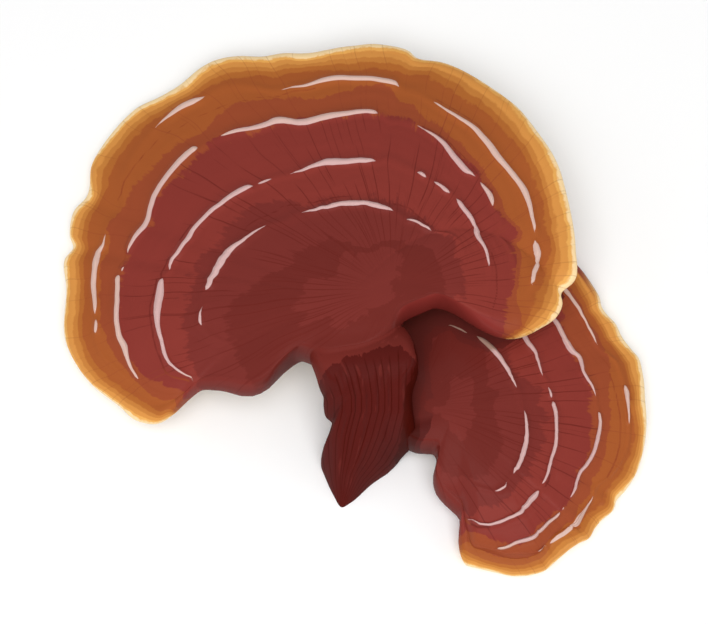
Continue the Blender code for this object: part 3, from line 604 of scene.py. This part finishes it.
def wrinkles(age, heading, edge_age):
    """Fine folds that run out across the margin, and faint rings over the whole cap."""
    turned = np.radians(heading)
    folds = sum(strength * np.sin(number * turned + sway * np.sin(sways * turned) + shift)
                for strength, number, sway, sways, shift in FOLDS)
    rings = (np.sin(2 * np.pi * 27 * age + 2 * np.sin(3 * turned) + np.sin(8 * turned))
             + 0.6 * np.sin(2 * np.pi * 17 * age + 2.5 * np.sin(2 * turned + 1)))
    depth = folds * age ** 7 + 0.5 * rings * np.minimum(age * 3, 1)
    return WRINKLE_DEPTH * wholeness(edge_age) * depth


def large_cap_heights(x, y, age, heading, edge_age):
    """Upper and lower height of the large cap, in mm."""
    lean = LARGE_MARGIN_HEIGHT + LARGE_LEAN_RIGHT * x + LARGE_LEAN_BACK * y
    smooth_top = lean + LARGE_DOME * (1 - age ** DOME_POWER) + margin_wave(age, heading)
    spread = LARGE_MIDDLE_THICKNESS - LARGE_MARGIN_THICKNESS
    thickness = LARGE_MARGIN_THICKNESS + spread * (1 - age)
    relief = ridges(age, heading, edge_age, LARGE_RIDGES) + wrinkles(age, heading, edge_age)
    return smooth_top + relief, np.maximum(smooth_top - thickness, 0)


def small_cap_heights(x, y, age, heading, edge_age):
    """Upper and lower height of the small cap, in mm."""
    smooth_top = (SMALL_MARGIN_HEIGHT + SMALL_DOME * (1 - age ** DOME_POWER)
                  + margin_wave(age, heading))
    relief = ridges(age, heading, edge_age, SMALL_RIDGES) + wrinkles(age, heading, edge_age)
    relief = relief * np.interp(np.mod(heading + 90, 360), SMALL_SMOOTH_TURNS, (1, 0, 0, 1))
    return smooth_top + relief, SMALL_HOLLOW * (1 - np.minimum(age / SMALL_HOLLOW_END, 1) ** 2)


def stem_grain(x, y):
    """Distance across the stalk's grain, in mm: the grain fans out up the stalk."""
    edges = np.array(STEM_EDGES)
    left = np.interp(y, edges[:, 0], edges[:, 1])
    right = np.interp(y, edges[:, 0], edges[:, 2])
    return STEM_GRAIN_WIDTH * (x - left) / (right - left)


def stem_heights(x, y, age, heading, edge_age):
    """Upper and lower height of the stalk, in mm: it slopes down to its cut."""
    profile = np.array(STEM_PROFILE)
    lean = np.interp(y, (STEM_LEAN_START, STEM_SHOULDER_START), (0, LARGE_LEAN_RIGHT))
    top = sum(np.interp(y + shift, profile[:, 0], profile[:, 1]) for shift in STEM_SMOOTHING)
    top = top / len(STEM_SMOOTHING) + lean * x
    fade = np.clip((STEM_FLUTE_START - y) / STEM_FLUTE_PITCH, 0, 1)
    flutes = STEM_FLUTE_DEPTH * np.cos(
        2 * np.pi * (x - STEM_FLUTE_SLANT * y) / STEM_FLUTE_PITCH)
    grain = stem_grain(x, y)
    fibres = sum(height * np.sin(2 * np.pi * grain / pitch + sway * np.sin(y / length + shift))
                 for height, pitch, sway, length, shift in STEM_FIBRES)
    arch = np.minimum(STEM_ARCH_SLOPE * (y - STEM_ARCH_START), top - STEM_LEAST_THICKNESS)
    return top + fade * (flutes + fibres), np.maximum(arch, 0)


def cap_nose(y, thickness, edge_age):
    """Width of a cap's rounded edge: the margin is rounder than the sides of the notches."""
    return thickness * np.interp(edge_age, (NOTCH_EDGE_AGE, 1), (NOTCH_NOSE_SHARE, NOSE_SHARE))


def stem_nose(y, thickness, edge_age):
    """Width of the stalk's rounded flanks."""
    return np.interp(y, (STEM_FOOT_END, STEM_SHOULDER_START), (STEM_FOOT_NOSE, STEM_SHOULDER_NOSE))


Shape = namedtuple("Shape", "centre outline crowding heights nose")
LARGE_CAP = Shape(LARGE_CENTRE, LARGE_OUTLINE, LARGE_CROWDING, large_cap_heights, cap_nose)
SMALL_CAP = Shape(SMALL_CENTRE, SMALL_OUTLINE, SMALL_CROWDING, small_cap_heights, cap_nose)
STEM = Shape(STEM_CENTRE, STEM_OUTLINE, (0, 0, 0, 0), stem_heights, stem_nose)

Marks = namedtuple("Marks", "ridges lines core bands shade arch")
LARGE_MARKS = Marks(LARGE_RIDGES, LARGE_LINES, LARGE_CORE, LARGE_BANDS, None, LARGE_ARCH_SHADE)
SMALL_MARKS = Marks(SMALL_RIDGES, SMALL_LINES, SMALL_CORE, SMALL_BANDS, SMALL_SHADE, SMALL_ARCH_SHADE)


def cap_rings(headings, edge_age, ridge_tables, counts):
    """Shares of the edge's age at which a cap's upper rings lie, closer together on the ridges."""
    stops = [np.zeros_like(headings)]
    for table, limit in zip(ridge_tables, CREST_LIMITS):
        stops.append(np.minimum(closed_curve(table, headings)[:, 0] / edge_age, limit))
    stops.append(np.ones_like(headings))
    rings = []
    for inner, outer, count in zip(stops[:-1], stops[1:], counts):
        for step in np.arange(1, count + 1) / count:
            eased = step - RING_EASE * np.sin(2 * np.pi * step) / (2 * np.pi)
            rings.append(inner + (outer - inner) * eased)
    return np.array(rings)


def grown_skin(shape, headings, top_rings, nose_points, under_rings, cut_blend=None):
    """Arrays of rings by headings for the skin of a piece, without its two middle points."""
    edge_age = closed_curve(shape.outline, headings)[:, 2]
    x, y, reach = plan_point(shape, headings, np.ones_like(headings))
    top, bottom = shape.heights(x, y, edge_age, headings, edge_age)
    nose_start = 1 - shape.nose(y, top - bottom, edge_age) / reach
    rows = []                  # age, share of the way out, lift off the underside, under or not
    for shares in top_rings:
        age = shares * edge_age
        rows.append((age, share_at(age, headings, edge_age, nose_start, shape.crowding), 1.0, 0.0))
    for angle in np.radians(np.linspace(90, -90, nose_points)[1:]):
        past = NOSE_AGES * (1 - angle / (0.5 * np.pi))
        share = nose_start + (1 - nose_start) * math.cos(angle)
        rows.append((edge_age + past, share, (1 + math.sin(angle)) / 2, 0.0))
    for shares in under_rings:
        rows.append((shares * edge_age, shares * nose_start, 0.0, 1.0))
    age, share, lift, under = (np.array([np.broadcast_to(row[column], headings.shape)
                                         for row in rows]) for column in range(4))
    heading = np.tile(headings, (len(rows), 1))
    edges = np.tile(edge_age, (len(rows), 1))
    x, y, _ = plan_point(shape, heading, share)
    top, bottom = shape.heights(x, y, np.minimum(age, edges), heading, edges)
    raised = lift
    if cut_blend is not None:
        off_floor = np.clip(bottom / cut_blend, 0, 1)
        raised = off_floor * lift + (1 - off_floor) * np.maximum(2 * lift - 1, 0)
    z = bottom + (top - bottom) * raised
    return {"x": x, "y": y, "z": z, "age": age, "heading": heading, "edge_age": edges,
            "lift": lift, "under": under, "nose_start": nose_start}


def path_points(shape, nose_start_at, along, age):
    """Points seen from above on a path whose age changes along the headings."""
    edge_age = closed_curve(shape.outline, along)[:, 2]
    share = share_at(age, along, edge_age, nose_start_at(along), shape.crowding)
    x, y, _ = plan_point(shape, along, share)
    return x, y


def crest_paths(shape, nose_start_at, ridge_tables):
    """Each ridge's points, and half the width in mm of its crest's painted highlight at each of them.
    """
    for table in ridge_tables:
        along = np.arange(table[0][0], table[-1][0], PATH_STEP)
        age, width = closed_curve(table, along).T
        x, y = path_points(shape, nose_start_at, along, age)
        in_x, in_y = path_points(shape, nose_start_at, along, age - AGE_STEP)
        across = np.gradient(x) * (in_y - y) - np.gradient(y) * (in_x - x)
        step = np.hypot(np.gradient(x), np.gradient(y))
        yield x, y, width / AGE_STEP * np.abs(across) / step


def line_paths(shape, nose_start_at, line_tables):
    """Each growth line's points, and half its width in mm at each of them."""
    for table in line_tables:
        heading, age = np.array(table, float).T
        along = np.arange(heading[0], heading[-1], PATH_STEP)
        x, y = path_points(shape, nose_start_at, along, np.interp(along, heading, age))
        yield x, y, np.full_like(x, LINE_HALF_WIDTH)


def clearance(skin, paths):
    """Distance to the nearest path's edge, in mm: below 0 inside its crest's painted highlight or dark
    line.
    """
    nearest = np.full(skin["x"].shape, FAR)
    for x, y, width in paths:
        for spot in np.nonzero(width > LEAST_HALF_WIDTH)[0]:
            away = np.hypot(skin["x"] - x[spot], skin["y"] - y[spot]) - width[spot]
            nearest = np.minimum(nearest, away)
    return np.where((skin["under"] < 0.5) & (skin["lift"] > 0.5), nearest, FAR)


def places_between(age, stops):
    """Place among ages that rise along the last axis: a whole number at each of them."""
    stops = np.maximum.accumulate(stops, axis=-1) + LEAST_BAND * np.arange(stops.shape[-1])
    place = np.zeros_like(age)
    for index in range(stops.shape[-1] - 1):
        low, high = stops[..., index], stops[..., index + 1]
        place += np.clip((age - low) / (high - low), 0, 1)
    return place


def band_position(age, heading, core, bands):
    """Place among the colour bands: a whole number at each boundary, whatever its age."""
    zero = np.zeros(age.shape + (1,))
    stops = (zero, closed_curve(core, heading), closed_curve(bands, heading), zero + OUTER_AGE)
    return places_between(age, np.concatenate(stops, axis=-1))


def shade_position(age, heading, shade):
    """How deep in the crease's shade: 1 at the deep shade's edges and 2 at the darkest one's."""
    if shade is None:
        return np.zeros_like(age)
    deep, darkest, end = np.moveaxis(closed_curve(shade, heading), -1, 0)
    stops = np.stack((deep - SHADE_RUN_IN, deep, darkest, darkest + SHADE_RUN_ON), axis=-1)
    return places_between(age, stops) - np.clip((age - end) / SHADE_RUN_OUT, 0, 3)


def arch_shade_share(heading, span):
    """Share of the arch's painted shade at a heading."""
    return np.interp(np.mod(heading + 90, 360) - 90, span, (0, 1, 1, 0))


def surface_mesh(name, shape, skin, fields):
    """A closed mesh of a skin's rings between a middle point on top and one below."""
    rings, segments = skin["x"].shape
    top, bottom = shape.heights(*(np.array(value) for value in (*shape.centre, 0.0, 0.0, 1.0)))
    ring_points = np.stack((skin["x"], skin["y"], skin["z"]), axis=-1).reshape(-1, 3)
    points = np.concatenate(([(*shape.centre, float(top))], ring_points,
                             [(*shape.centre, float(bottom))]))
    points[:, :2] += PLACE
    here = np.arange(segments)
    right = (here + 1) % segments
    inner = 1 + np.arange(rings - 1)[:, None] * segments
    quads = np.stack((inner + here, inner + segments + here, inner + segments + right,
                      inner + right), axis=-1).reshape(-1, 4)
    last = 1 + (rings - 1) * segments
    end = len(points) - 1
    sides = list(zip(here.tolist(), right.tolist()))
    faces = [(0, 1 + a, 1 + b) for a, b in sides]
    faces += quads.tolist()
    faces += [(end, last + b, last + a) for a, b in sides]
    mesh = bpy.data.meshes.new(name)
    mesh.from_pydata((points * MM).tolist(), [], faces)
    for field, (middle, values) in fields.items():
        layer = mesh.attributes.new(field, "FLOAT", "POINT")
        layer.data.foreach_set("value", np.concatenate(([middle], values.ravel(), [middle])))
    mesh.shade_smooth()
    mesh.update()
    return mesh


def cap_mesh(name, shape, marks, headings, ring_counts):
    """A cap's detailed mesh, with its growth ages, colour bands and markings as fields."""
    edge_age = closed_curve(shape.outline, headings)[:, 2]
    top_rings = cap_rings(headings, edge_age, marks.ridges, ring_counts)
    skin = grown_skin(shape, headings, top_rings, CAP_NOSE_POINTS, CAP_UNDER_RINGS)

    def nose_start_at(along):
        return np.interp(along, headings, skin["nose_start"], period=360)

    crest = clearance(skin, crest_paths(shape, nose_start_at, marks.ridges))
    line = clearance(skin, line_paths(shape, nose_start_at, marks.lines))
    skin["z"] = skin["z"] + CREST_RISE * (1 - (1 - np.clip(-crest, 0, 1)) ** 2)
    age, heading = skin["age"], skin["heading"]
    return surface_mesh(name, shape, skin, {
        "band": (0.0, band_position(age, heading, marks.core, marks.bands)),
        "shade": (0.0, shade_position(age, heading, marks.shade)),
        "arch": (0.0, arch_shade_share(heading, marks.arch)),
        "age": (0.0, age),
        "edge_age": (1.0, skin["edge_age"]),
        "crest": (FAR, crest),
        "line": (FAR, line),
        "under": (0.0, skin["under"]),
        "lift": (1.0, skin["lift"]),
    })


def stem_mesh(name):
    """The stalk's detailed mesh, with its grain, the places of its dark lacquer and of its painted
    crease shade as fields.
    """
    headings = np.arange(0, 360, STEM_HEADING_STEP)
    skin = grown_skin(STEM, headings, np.linspace(0, 1, STEM_RINGS + 1)[1:], STEM_NOSE_POINTS,
                      np.linspace(1, 0, STEM_UNDER_RINGS + 2)[1:-1], STEM_CUT_BLEND)
    x, y = skin["x"], skin["y"]
    dark_edge, crease = np.array(STEM_DARK_EDGE), np.array(STEM_CREASE_SHADE)
    return surface_mesh(name, STEM, skin, {
        "grain": (STEM_GRAIN_WIDTH / 2, stem_grain(x, y)),
        "below_edge": (0.0, np.interp(x, dark_edge[:, 0], dark_edge[:, 1]) - y),
        "in_crease_shade": (-FAR, x - np.interp(y, crease[:, 0], crease[:, 1])),
    })


def height_over(mesh):
    """A function that gives the height of a mesh's upper side at a point, or None beside it."""
    mesh.calc_loop_triangles()
    corners = [vert.co.copy() for vert in mesh.vertices]
    tree = BVHTree.FromPolygons(corners, [tuple(t.vertices) for t in mesh.loop_triangles])
    down = Vector((0, 0, -1))

    def look(x, y):
        hit = tree.ray_cast(Vector((x, y, 1.0)), down)[0]
        return None if hit is None else hit.z
    return look


def weld(mesh, other_height):
    """Run one upper side smoothly into another's; where the other is higher, this one sinks."""
    width = WELD_WIDTH * MM
    for vert in mesh.vertices:
        own, other = vert.co.z, other_height(vert.co.x, vert.co.y)
        if other is None or own < other - WELD_REACH * MM:
            continue
        rise = max(width - abs(own - other), 0) ** 2 / (4 * width)
        vert.co.z = max(own, other) + rise - WELD_SINK * max(other - own, 0)
    mesh.update()


def use_under_material(mesh):
    """Faces of the pore side take the mesh's second material."""
    under = np.zeros(len(mesh.vertices))
    mesh.attributes["under"].data.foreach_get("value", under)
    for face in mesh.polygons:
        if min(under[v] for v in face.vertices) > 0.5:
            face.material_index = 1


def linear(hex_color):
    """An sRGB colour as linear red, green, blue and alpha."""
    levels = [int(hex_color[i:i + 2], 16) / 255 for i in (0, 2, 4)]
    return tuple(v / 12.92 if v <= 0.04045 else ((v + 0.055) / 1.055) ** 2.4 for v in levels) + (1,)


def paint(hex_color, gloss=GLOSS):
    """The lacquer's colour under the clear coat, whose white gloss adds to what is seen."""
    return tuple(max(level - gloss, 0.002) for level in linear(hex_color)[:3]) + (1,)


class Value:
    """What comes out of a node, with signs for the sums it takes part in."""

    def __init__(self, nodes, socket):
        self.nodes = nodes
        self.socket = socket

    def __add__(self, other):
        return self.nodes.math("ADD", self, other)

    def __sub__(self, other):
        return self.nodes.math("SUBTRACT", self, other)

    def __mul__(self, other):
        return self.nodes.math("MULTIPLY", self, other)

    def __truediv__(self, other):
        return self.nodes.math("DIVIDE", self, other)


class Nodes:
    """Short names for building one material's node tree."""

    def __init__(self, name):
        self.material = bpy.data.materials.new(name)
        self.material.use_nodes = True
        self.tree = self.material.node_tree

    def link(self, value, socket):
        """Link a value to a socket, or set a plain number or colour on it."""
        if isinstance(value, Value):
            self.tree.links.new(value.socket, socket)
        else:
            socket.default_value = value

    def add(self, kind, inputs, output=0, **settings):
        """A new node's output. The inputs are pairs of a socket's place or name and its value."""
        node = self.tree.nodes.new("ShaderNode" + kind)
        for name, value in settings.items():
            setattr(node, name, value)
        for key, value in inputs:
            self.link(value, node.inputs[key])
        return Value(self, node.outputs[output])

    def math(self, operation, *values):
        return self.add("Math", enumerate(values), operation=operation)

    def attribute(self, name):
        return self.add("Attribute", (), "Fac", attribute_name=name)

    def position(self):
        """Place in the row frame, in mm."""
        place = self.add("TexCoord", (), "Object")
        return self.add("VectorMath", ((0, place), ("Scale", 1 / MM)), operation="SCALE")

    def split(self, vector):
        """The three parts of a vector."""
        node = self.add("SeparateXYZ", ((0, vector),)).socket.node
        return [Value(self, socket) for socket in node.outputs]

    def vector(self, *parts):
        return self.add("CombineXYZ", enumerate(parts))

    def noise(self, vector, scale=1.0, detail=3.0, rough=0.6):
        return self.add("TexNoise", (("Vector", vector), ("Scale", scale), ("Detail", detail),
                                     ("Roughness", rough)), "Fac")

    def cells(self, vector, scale):
        """Distance from the nearest of many scattered spots."""
        return self.add("TexVoronoi", (("Vector", vector), ("Scale", scale)), "Distance")

    def strands(self, across, scale):
        """Distance from the nearest of many parallel lines, unevenly spaced."""
        return self.add("TexVoronoi", (("W", across), ("Scale", scale)), "Distance",
                        voronoi_dimensions="1D", feature="DISTANCE_TO_EDGE")

    def step(self, value, low, high, out_low=0.0, out_high=1.0):
        """A value's place between low and high, turned into one between two others."""
        return self.add("MapRange", enumerate((value, low, high, out_low, out_high)), clamp=True)

    def ramp(self, value, stops):
        color = self.add("ValToRGB", ((0, value),))
        elements = color.socket.node.color_ramp.elements
        while len(elements) < len(stops):
            elements.new(0.5)
        for element, (place, shade) in zip(elements, stops):
            element.position = place
            element.color = shade
        return color

    def mix(self, share, first, second):
        return self.add("Mix", ((0, share), (6, first), (7, second)), 2, data_type="RGBA")

    def bump(self, height, strength, distance):
        return self.add("Bump", (("Strength", strength), ("Distance", distance * MM),
                                 ("Height", height)))

    def finished(self, inputs):
        """The material, with these values on its shader."""
        shader = self.tree.nodes["Principled BSDF"]
        for name, value in inputs.items():
            self.link(value, shader.inputs[name])
        return self.material


def band_stops():
    """Ramp stops that hold each colour flat and change over quickly to the next."""
    stops = [(0, paint(BAND_COLORS[0][1]))]
    for (_, before), (start, after) in zip(BAND_COLORS[:-1], BAND_COLORS[1:]):
        stops.append(((start - BAND_SOFTNESS / 2) / BAND_SPAN, paint(before)))
        stops.append(((start + BAND_SOFTNESS / 2) / BAND_SPAN, paint(after)))
    return stops


def lacquer(name, fibre_centre):
    """The lacquered upper side: colour bands, fibres, painted shade, painted highlights on the crests
    and a clear coat.
    """
    n = Nodes(name)
    place = n.position()
    x, y, _ = n.split(place)
    dx = x - (fibre_centre[0] + PLACE[0])
    dy = y - (fibre_centre[1] + PLACE[1])
    radius = n.math("SQRT", dx * dx + dy * dy)
    angle = n.math("ARCTAN2", dx, dy)
    age = n.attribute("age")

    # bands with combed and blotched edges
    band = n.attribute("band")
    streak = n.noise(n.vector(angle * STREAKS_PER_RADIAN, radius * 0.1))
    patch = n.noise(n.vector(angle * PATCHES_PER_RADIAN, radius * 0.12), detail=2.0)
    blot = n.noise(place, BLOT_SCALE)
    combed = (streak - 0.5) * STREAK_PUSH + (patch - 0.5) * PATCH_PUSH
    combed = combed * n.step(radius, *COMBED_RADII) * n.step(band, *CALM_BANDS)
    blotched = (blot - 0.5) * n.step(radius, *BLOT_PUSH)
    color = n.ramp((band + (combed + blotched)) / BAND_SPAN, band_stops())

    # thin dark fibres that run out from the middle, each over its own stretch
    sway = (n.noise(place, 0.06, 0.0, 0.5) - 0.5) * 0.8
    for per_radian, seed, start, full, strength in FIBRES:
        across = angle * per_radian + sway * (per_radian / FIBRES[0][0])
        away = n.strands(across, 1.0) / per_radian * radius
        stretch = n.noise(n.vector(across, radius * 0.045, seed), 0.8, 1.0, 0.5)
        fibre = (n.step(away, *FIBRE_EDGES, 1.0, 0.0) * n.step(stretch, start, full)
                 * (n.step(radius, *FIBRE_RADII) * n.step(age, 0.6, 0.95, 1.0, 0.3)))
        fibre_color = n.mix(n.step(age, *ORANGE_AGES), paint(FIBRE), paint(FIBRE_ON_ORANGE))
        color = n.mix(fibre * strength, color, fibre_color)
    growth_line = n.step(n.attribute("line"), *LINE_EDGES, 1.0, 0.0)
    line_color = n.mix(n.step(age, *ORANGE_AGES), paint(FIBRE), paint(LINE_ON_ORANGE))
    color = n.mix(growth_line * LINE_STRENGTH, color, line_color)

    # painted shade beside the stalk and under the large cap, and painted highlights on the crests
    shade = n.attribute("shade")
    ragged = shade + (blot - 0.5) * 0.5
    in_arch_shade = n.attribute("arch")
    deep = n.mix(in_arch_shade, paint(DEEP), paint(DEEP_IN_SHADE))
    darkest = n.mix(in_arch_shade, paint(CREASE_SHADE), linear(HOLLOW_SHADE))
    color = n.mix(n.step(ragged, 0.97, 1.03), color, deep)
    color = n.mix(n.step(ragged, 1.97, 2.03), color, darkest)
    pale = n.mix(n.step(age, *HIGHLIGHT_AGES), linear(PAINTED_HIGHLIGHT_ON_RED), linear(PAINTED_HIGHLIGHT_ON_ORANGE))
    pale = n.mix(n.step(shade, 0.9, 1.0), pale, linear(PAINTED_HIGHLIGHT_IN_SHADE))
    color = n.mix(n.step(n.attribute("crest"), *CREST_EDGES, 1.0, 0.0), color, pale)

    # painted shade on the notches' walls, darkest on the large cap's wall over the arch
    lift = n.attribute("lift")
    wall_shade = n.step(lift, 1.0, 0.5) * n.step(n.attribute("edge_age"), 0.9, 0.7)
    color = n.mix(wall_shade * WALL_SHADE_STRENGTH, color, paint(DEEP))
    color = n.mix(n.step(lift, 0.97, 0.93) * in_arch_shade, color, linear(ARCH_SHADE))

    relief = streak * 0.7 + n.noise(place, 2.6) * 0.3
    return n.finished({
        "Base Color": color,
        "Roughness": n.step(streak, 0.3, 0.7, 0.4, 0.52),
        "Specular IOR Level": 0.0,
        "Coat Weight": 0.2,
        "Coat Roughness": 0.22,
        "Normal": n.bump(relief, 0.15, 0.25),
    })


def pore_surface(name):
    """The pale underside, pricked with fine round pores."""
    n = Nodes(name)
    place = n.position()
    pore = n.step(n.cells(place, PORES_PER_MM), *PORE_EDGES, 1.0, 0.0)
    stain = n.step(n.noise(place, 0.045), 0.35, 0.7)
    flesh = n.mix(stain, linear(PORES), linear(STAINED_PORES))
    return n.finished({
        "Base Color": n.mix(pore * PORE_STRENGTH, flesh, linear(PORE_HOLES)),
        "Roughness": 0.85,
        "Specular IOR Level": 0.2,
        "Normal": n.bump(n.math("SUBTRACT", 1.0, pore), 0.5, 0.3),
    })


def stalk(name):
    """The stalk's dark lacquer with its long grain, and painted shade in the crease on its right side.
    """
    n = Nodes(name)
    place = n.position()
    y = n.split(place)[1]
    grain = n.attribute("grain")
    below_edge = n.attribute("below_edge")
    streak = n.noise(n.vector(grain * 1.3, y * 0.06))
    blot = n.noise(place, BLOT_SCALE)

    # the cap's colour at the shoulder, the dark lacquer below its ragged edge
    shoulder = n.mix(n.step(blot, 0.6, 0.63), paint(CORE, STALK_GLOSS), paint(MID, STALK_GLOSS))
    worn = n.step(n.noise(n.vector(grain * 0.6, y * 0.12), detail=2.0), 0.62, 0.7)
    dark = n.mix(worn * 0.5, paint(DEEP, STALK_GLOSS), paint(CORE, STALK_GLOSS))
    starts = n.noise(n.vector(grain), 0.9, 0.0, 0.5)
    strand = (n.step(n.strands(grain, STRANDS_PER_MM), *STRAND_EDGES, 1.0, 0.0)
              * n.step(below_edge - starts * 9.0, -2.5, 0.0))
    dark = n.mix(strand, dark, paint(GRAIN, STALK_GLOSS))
    ragged = below_edge + ((streak - 0.5) * 3.0 + (blot - 0.5) * 4.0)
    color = n.mix(n.step(ragged, -0.15, 0.15), shoulder, dark)
    # painted shade in the crease along the stalk's right side
    in_crease_shade = n.attribute("in_crease_shade") + (blot - 0.5) * 3.0
    return n.finished({
        "Base Color": n.mix(n.step(in_crease_shade, -0.2, 0.2), color, paint(CREASE_SHADE, STALK_GLOSS)),
        "Roughness": 0.62,
        "Specular IOR Level": 0.0,
        "Coat Weight": 0.12,
        "Coat Roughness": 0.3,
        "Normal": n.bump(streak, 0.3, 0.3),
    })


def add_piece(mesh, node, materials):
    """Put a mesh in the scene, in the place of its CAD node."""
    for material in materials:
        mesh.materials.append(material)
    piece = bpy.data.objects.new(mesh.name, mesh)
    bpy.context.scene.collection.objects.link(piece)
    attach(piece, "root")
    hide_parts(node)
    return piece


def headings_round(fan_start, fan_end, fan_step):
    """Headings all the way round, closer together over the fan of a cap."""
    return np.concatenate((np.arange(fan_start, fan_end, fan_step),
                           np.arange(fan_end, fan_start + 360, LOOSE_HEADING_STEP)))


large = cap_mesh("large_cap_skin", LARGE_CAP, LARGE_MARKS, headings_round(*LARGE_FAN),
                 LARGE_RING_COUNTS)
small = cap_mesh("small_cap_skin", SMALL_CAP, SMALL_MARKS, headings_round(*SMALL_FAN),
                 SMALL_RING_COUNTS)
stem = stem_mesh("stem_skin")
over_large = height_over(large)
weld(large, height_over(stem))
weld(stem, over_large)

pores = pore_surface("pore surface")
add_piece(large, "large_cap",
          (lacquer("lacquered cap", LARGE_FIBRE_CENTRE), pores))
add_piece(small, "small_cap",
          (lacquer("lacquered small cap", SMALL_FIBRE_CENTRE), pores))
add_piece(stem, "stem", (stalk("dark stalk"),))
for mesh in (large, small):
    use_under_material(mesh)

# ---- stage, light and camera ----
half = FLOOR_SIZE / 2
floor_mesh = bpy.data.meshes.new("floor")
floor_mesh.from_pydata([(-half, -half, 0), (half, -half, 0), (half, half, 0), (-half, half, 0)],
                       [], [(0, 1, 2, 3)])
floor = bpy.data.objects.new("floor", floor_mesh)
bpy.context.scene.collection.objects.link(floor)
floor_mesh.materials.append(Nodes("floor paint").finished({
    "Base Color": (0.95, 0.95, 0.95, 1),
    "Roughness": 0.9,
    "Specular IOR Level": 0.0,
}))


def soft_light(name, azimuth, elevation, distance, size, power, highlights):
    """A square soft light that faces the object from a compass direction."""
    light = bpy.data.lights.new(name, "AREA")
    light.size = size
    light.energy = power
    lamp = bpy.data.objects.new(name, light)
    turn, rise = math.radians(azimuth), math.radians(elevation)
    lamp.location = Vector((math.cos(turn) * math.cos(rise), math.sin(turn) * math.cos(rise),
                            math.sin(rise))) * distance
    lamp.rotation_euler = lamp.location.to_track_quat("Z", "Y").to_euler()
    lamp.visible_glossy = highlights
    bpy.context.scene.collection.objects.link(lamp)


for light_values in LIGHTS:
    soft_light(*light_values)

world = bpy.data.worlds.new("studio")
bpy.context.scene.world = world
world.use_nodes = True
background = world.node_tree.nodes["Background"]
background.inputs["Color"].default_value = (1, 1, 1, 1)
background.inputs["Strength"].default_value = WORLD_STRENGTH

rise = math.radians(CAMERA_ELEVATION)
camera_data = bpy.data.cameras.new("camera")
camera_data.lens = CAMERA_LENS
camera_data.sensor_width = CAMERA_SENSOR_WIDTH
camera = bpy.data.objects.new("camera", camera_data)
camera.location = (Vector(CAMERA_TARGET)
                   + CAMERA_DISTANCE * Vector((0, -math.cos(rise), math.sin(rise))))
camera.rotation_euler = (math.radians(90 - CAMERA_ELEVATION), 0, 0)
bpy.context.scene.collection.objects.link(camera)
bpy.context.scene.camera = camera
bpy.context.scene.view_settings.view_transform = "Standard"
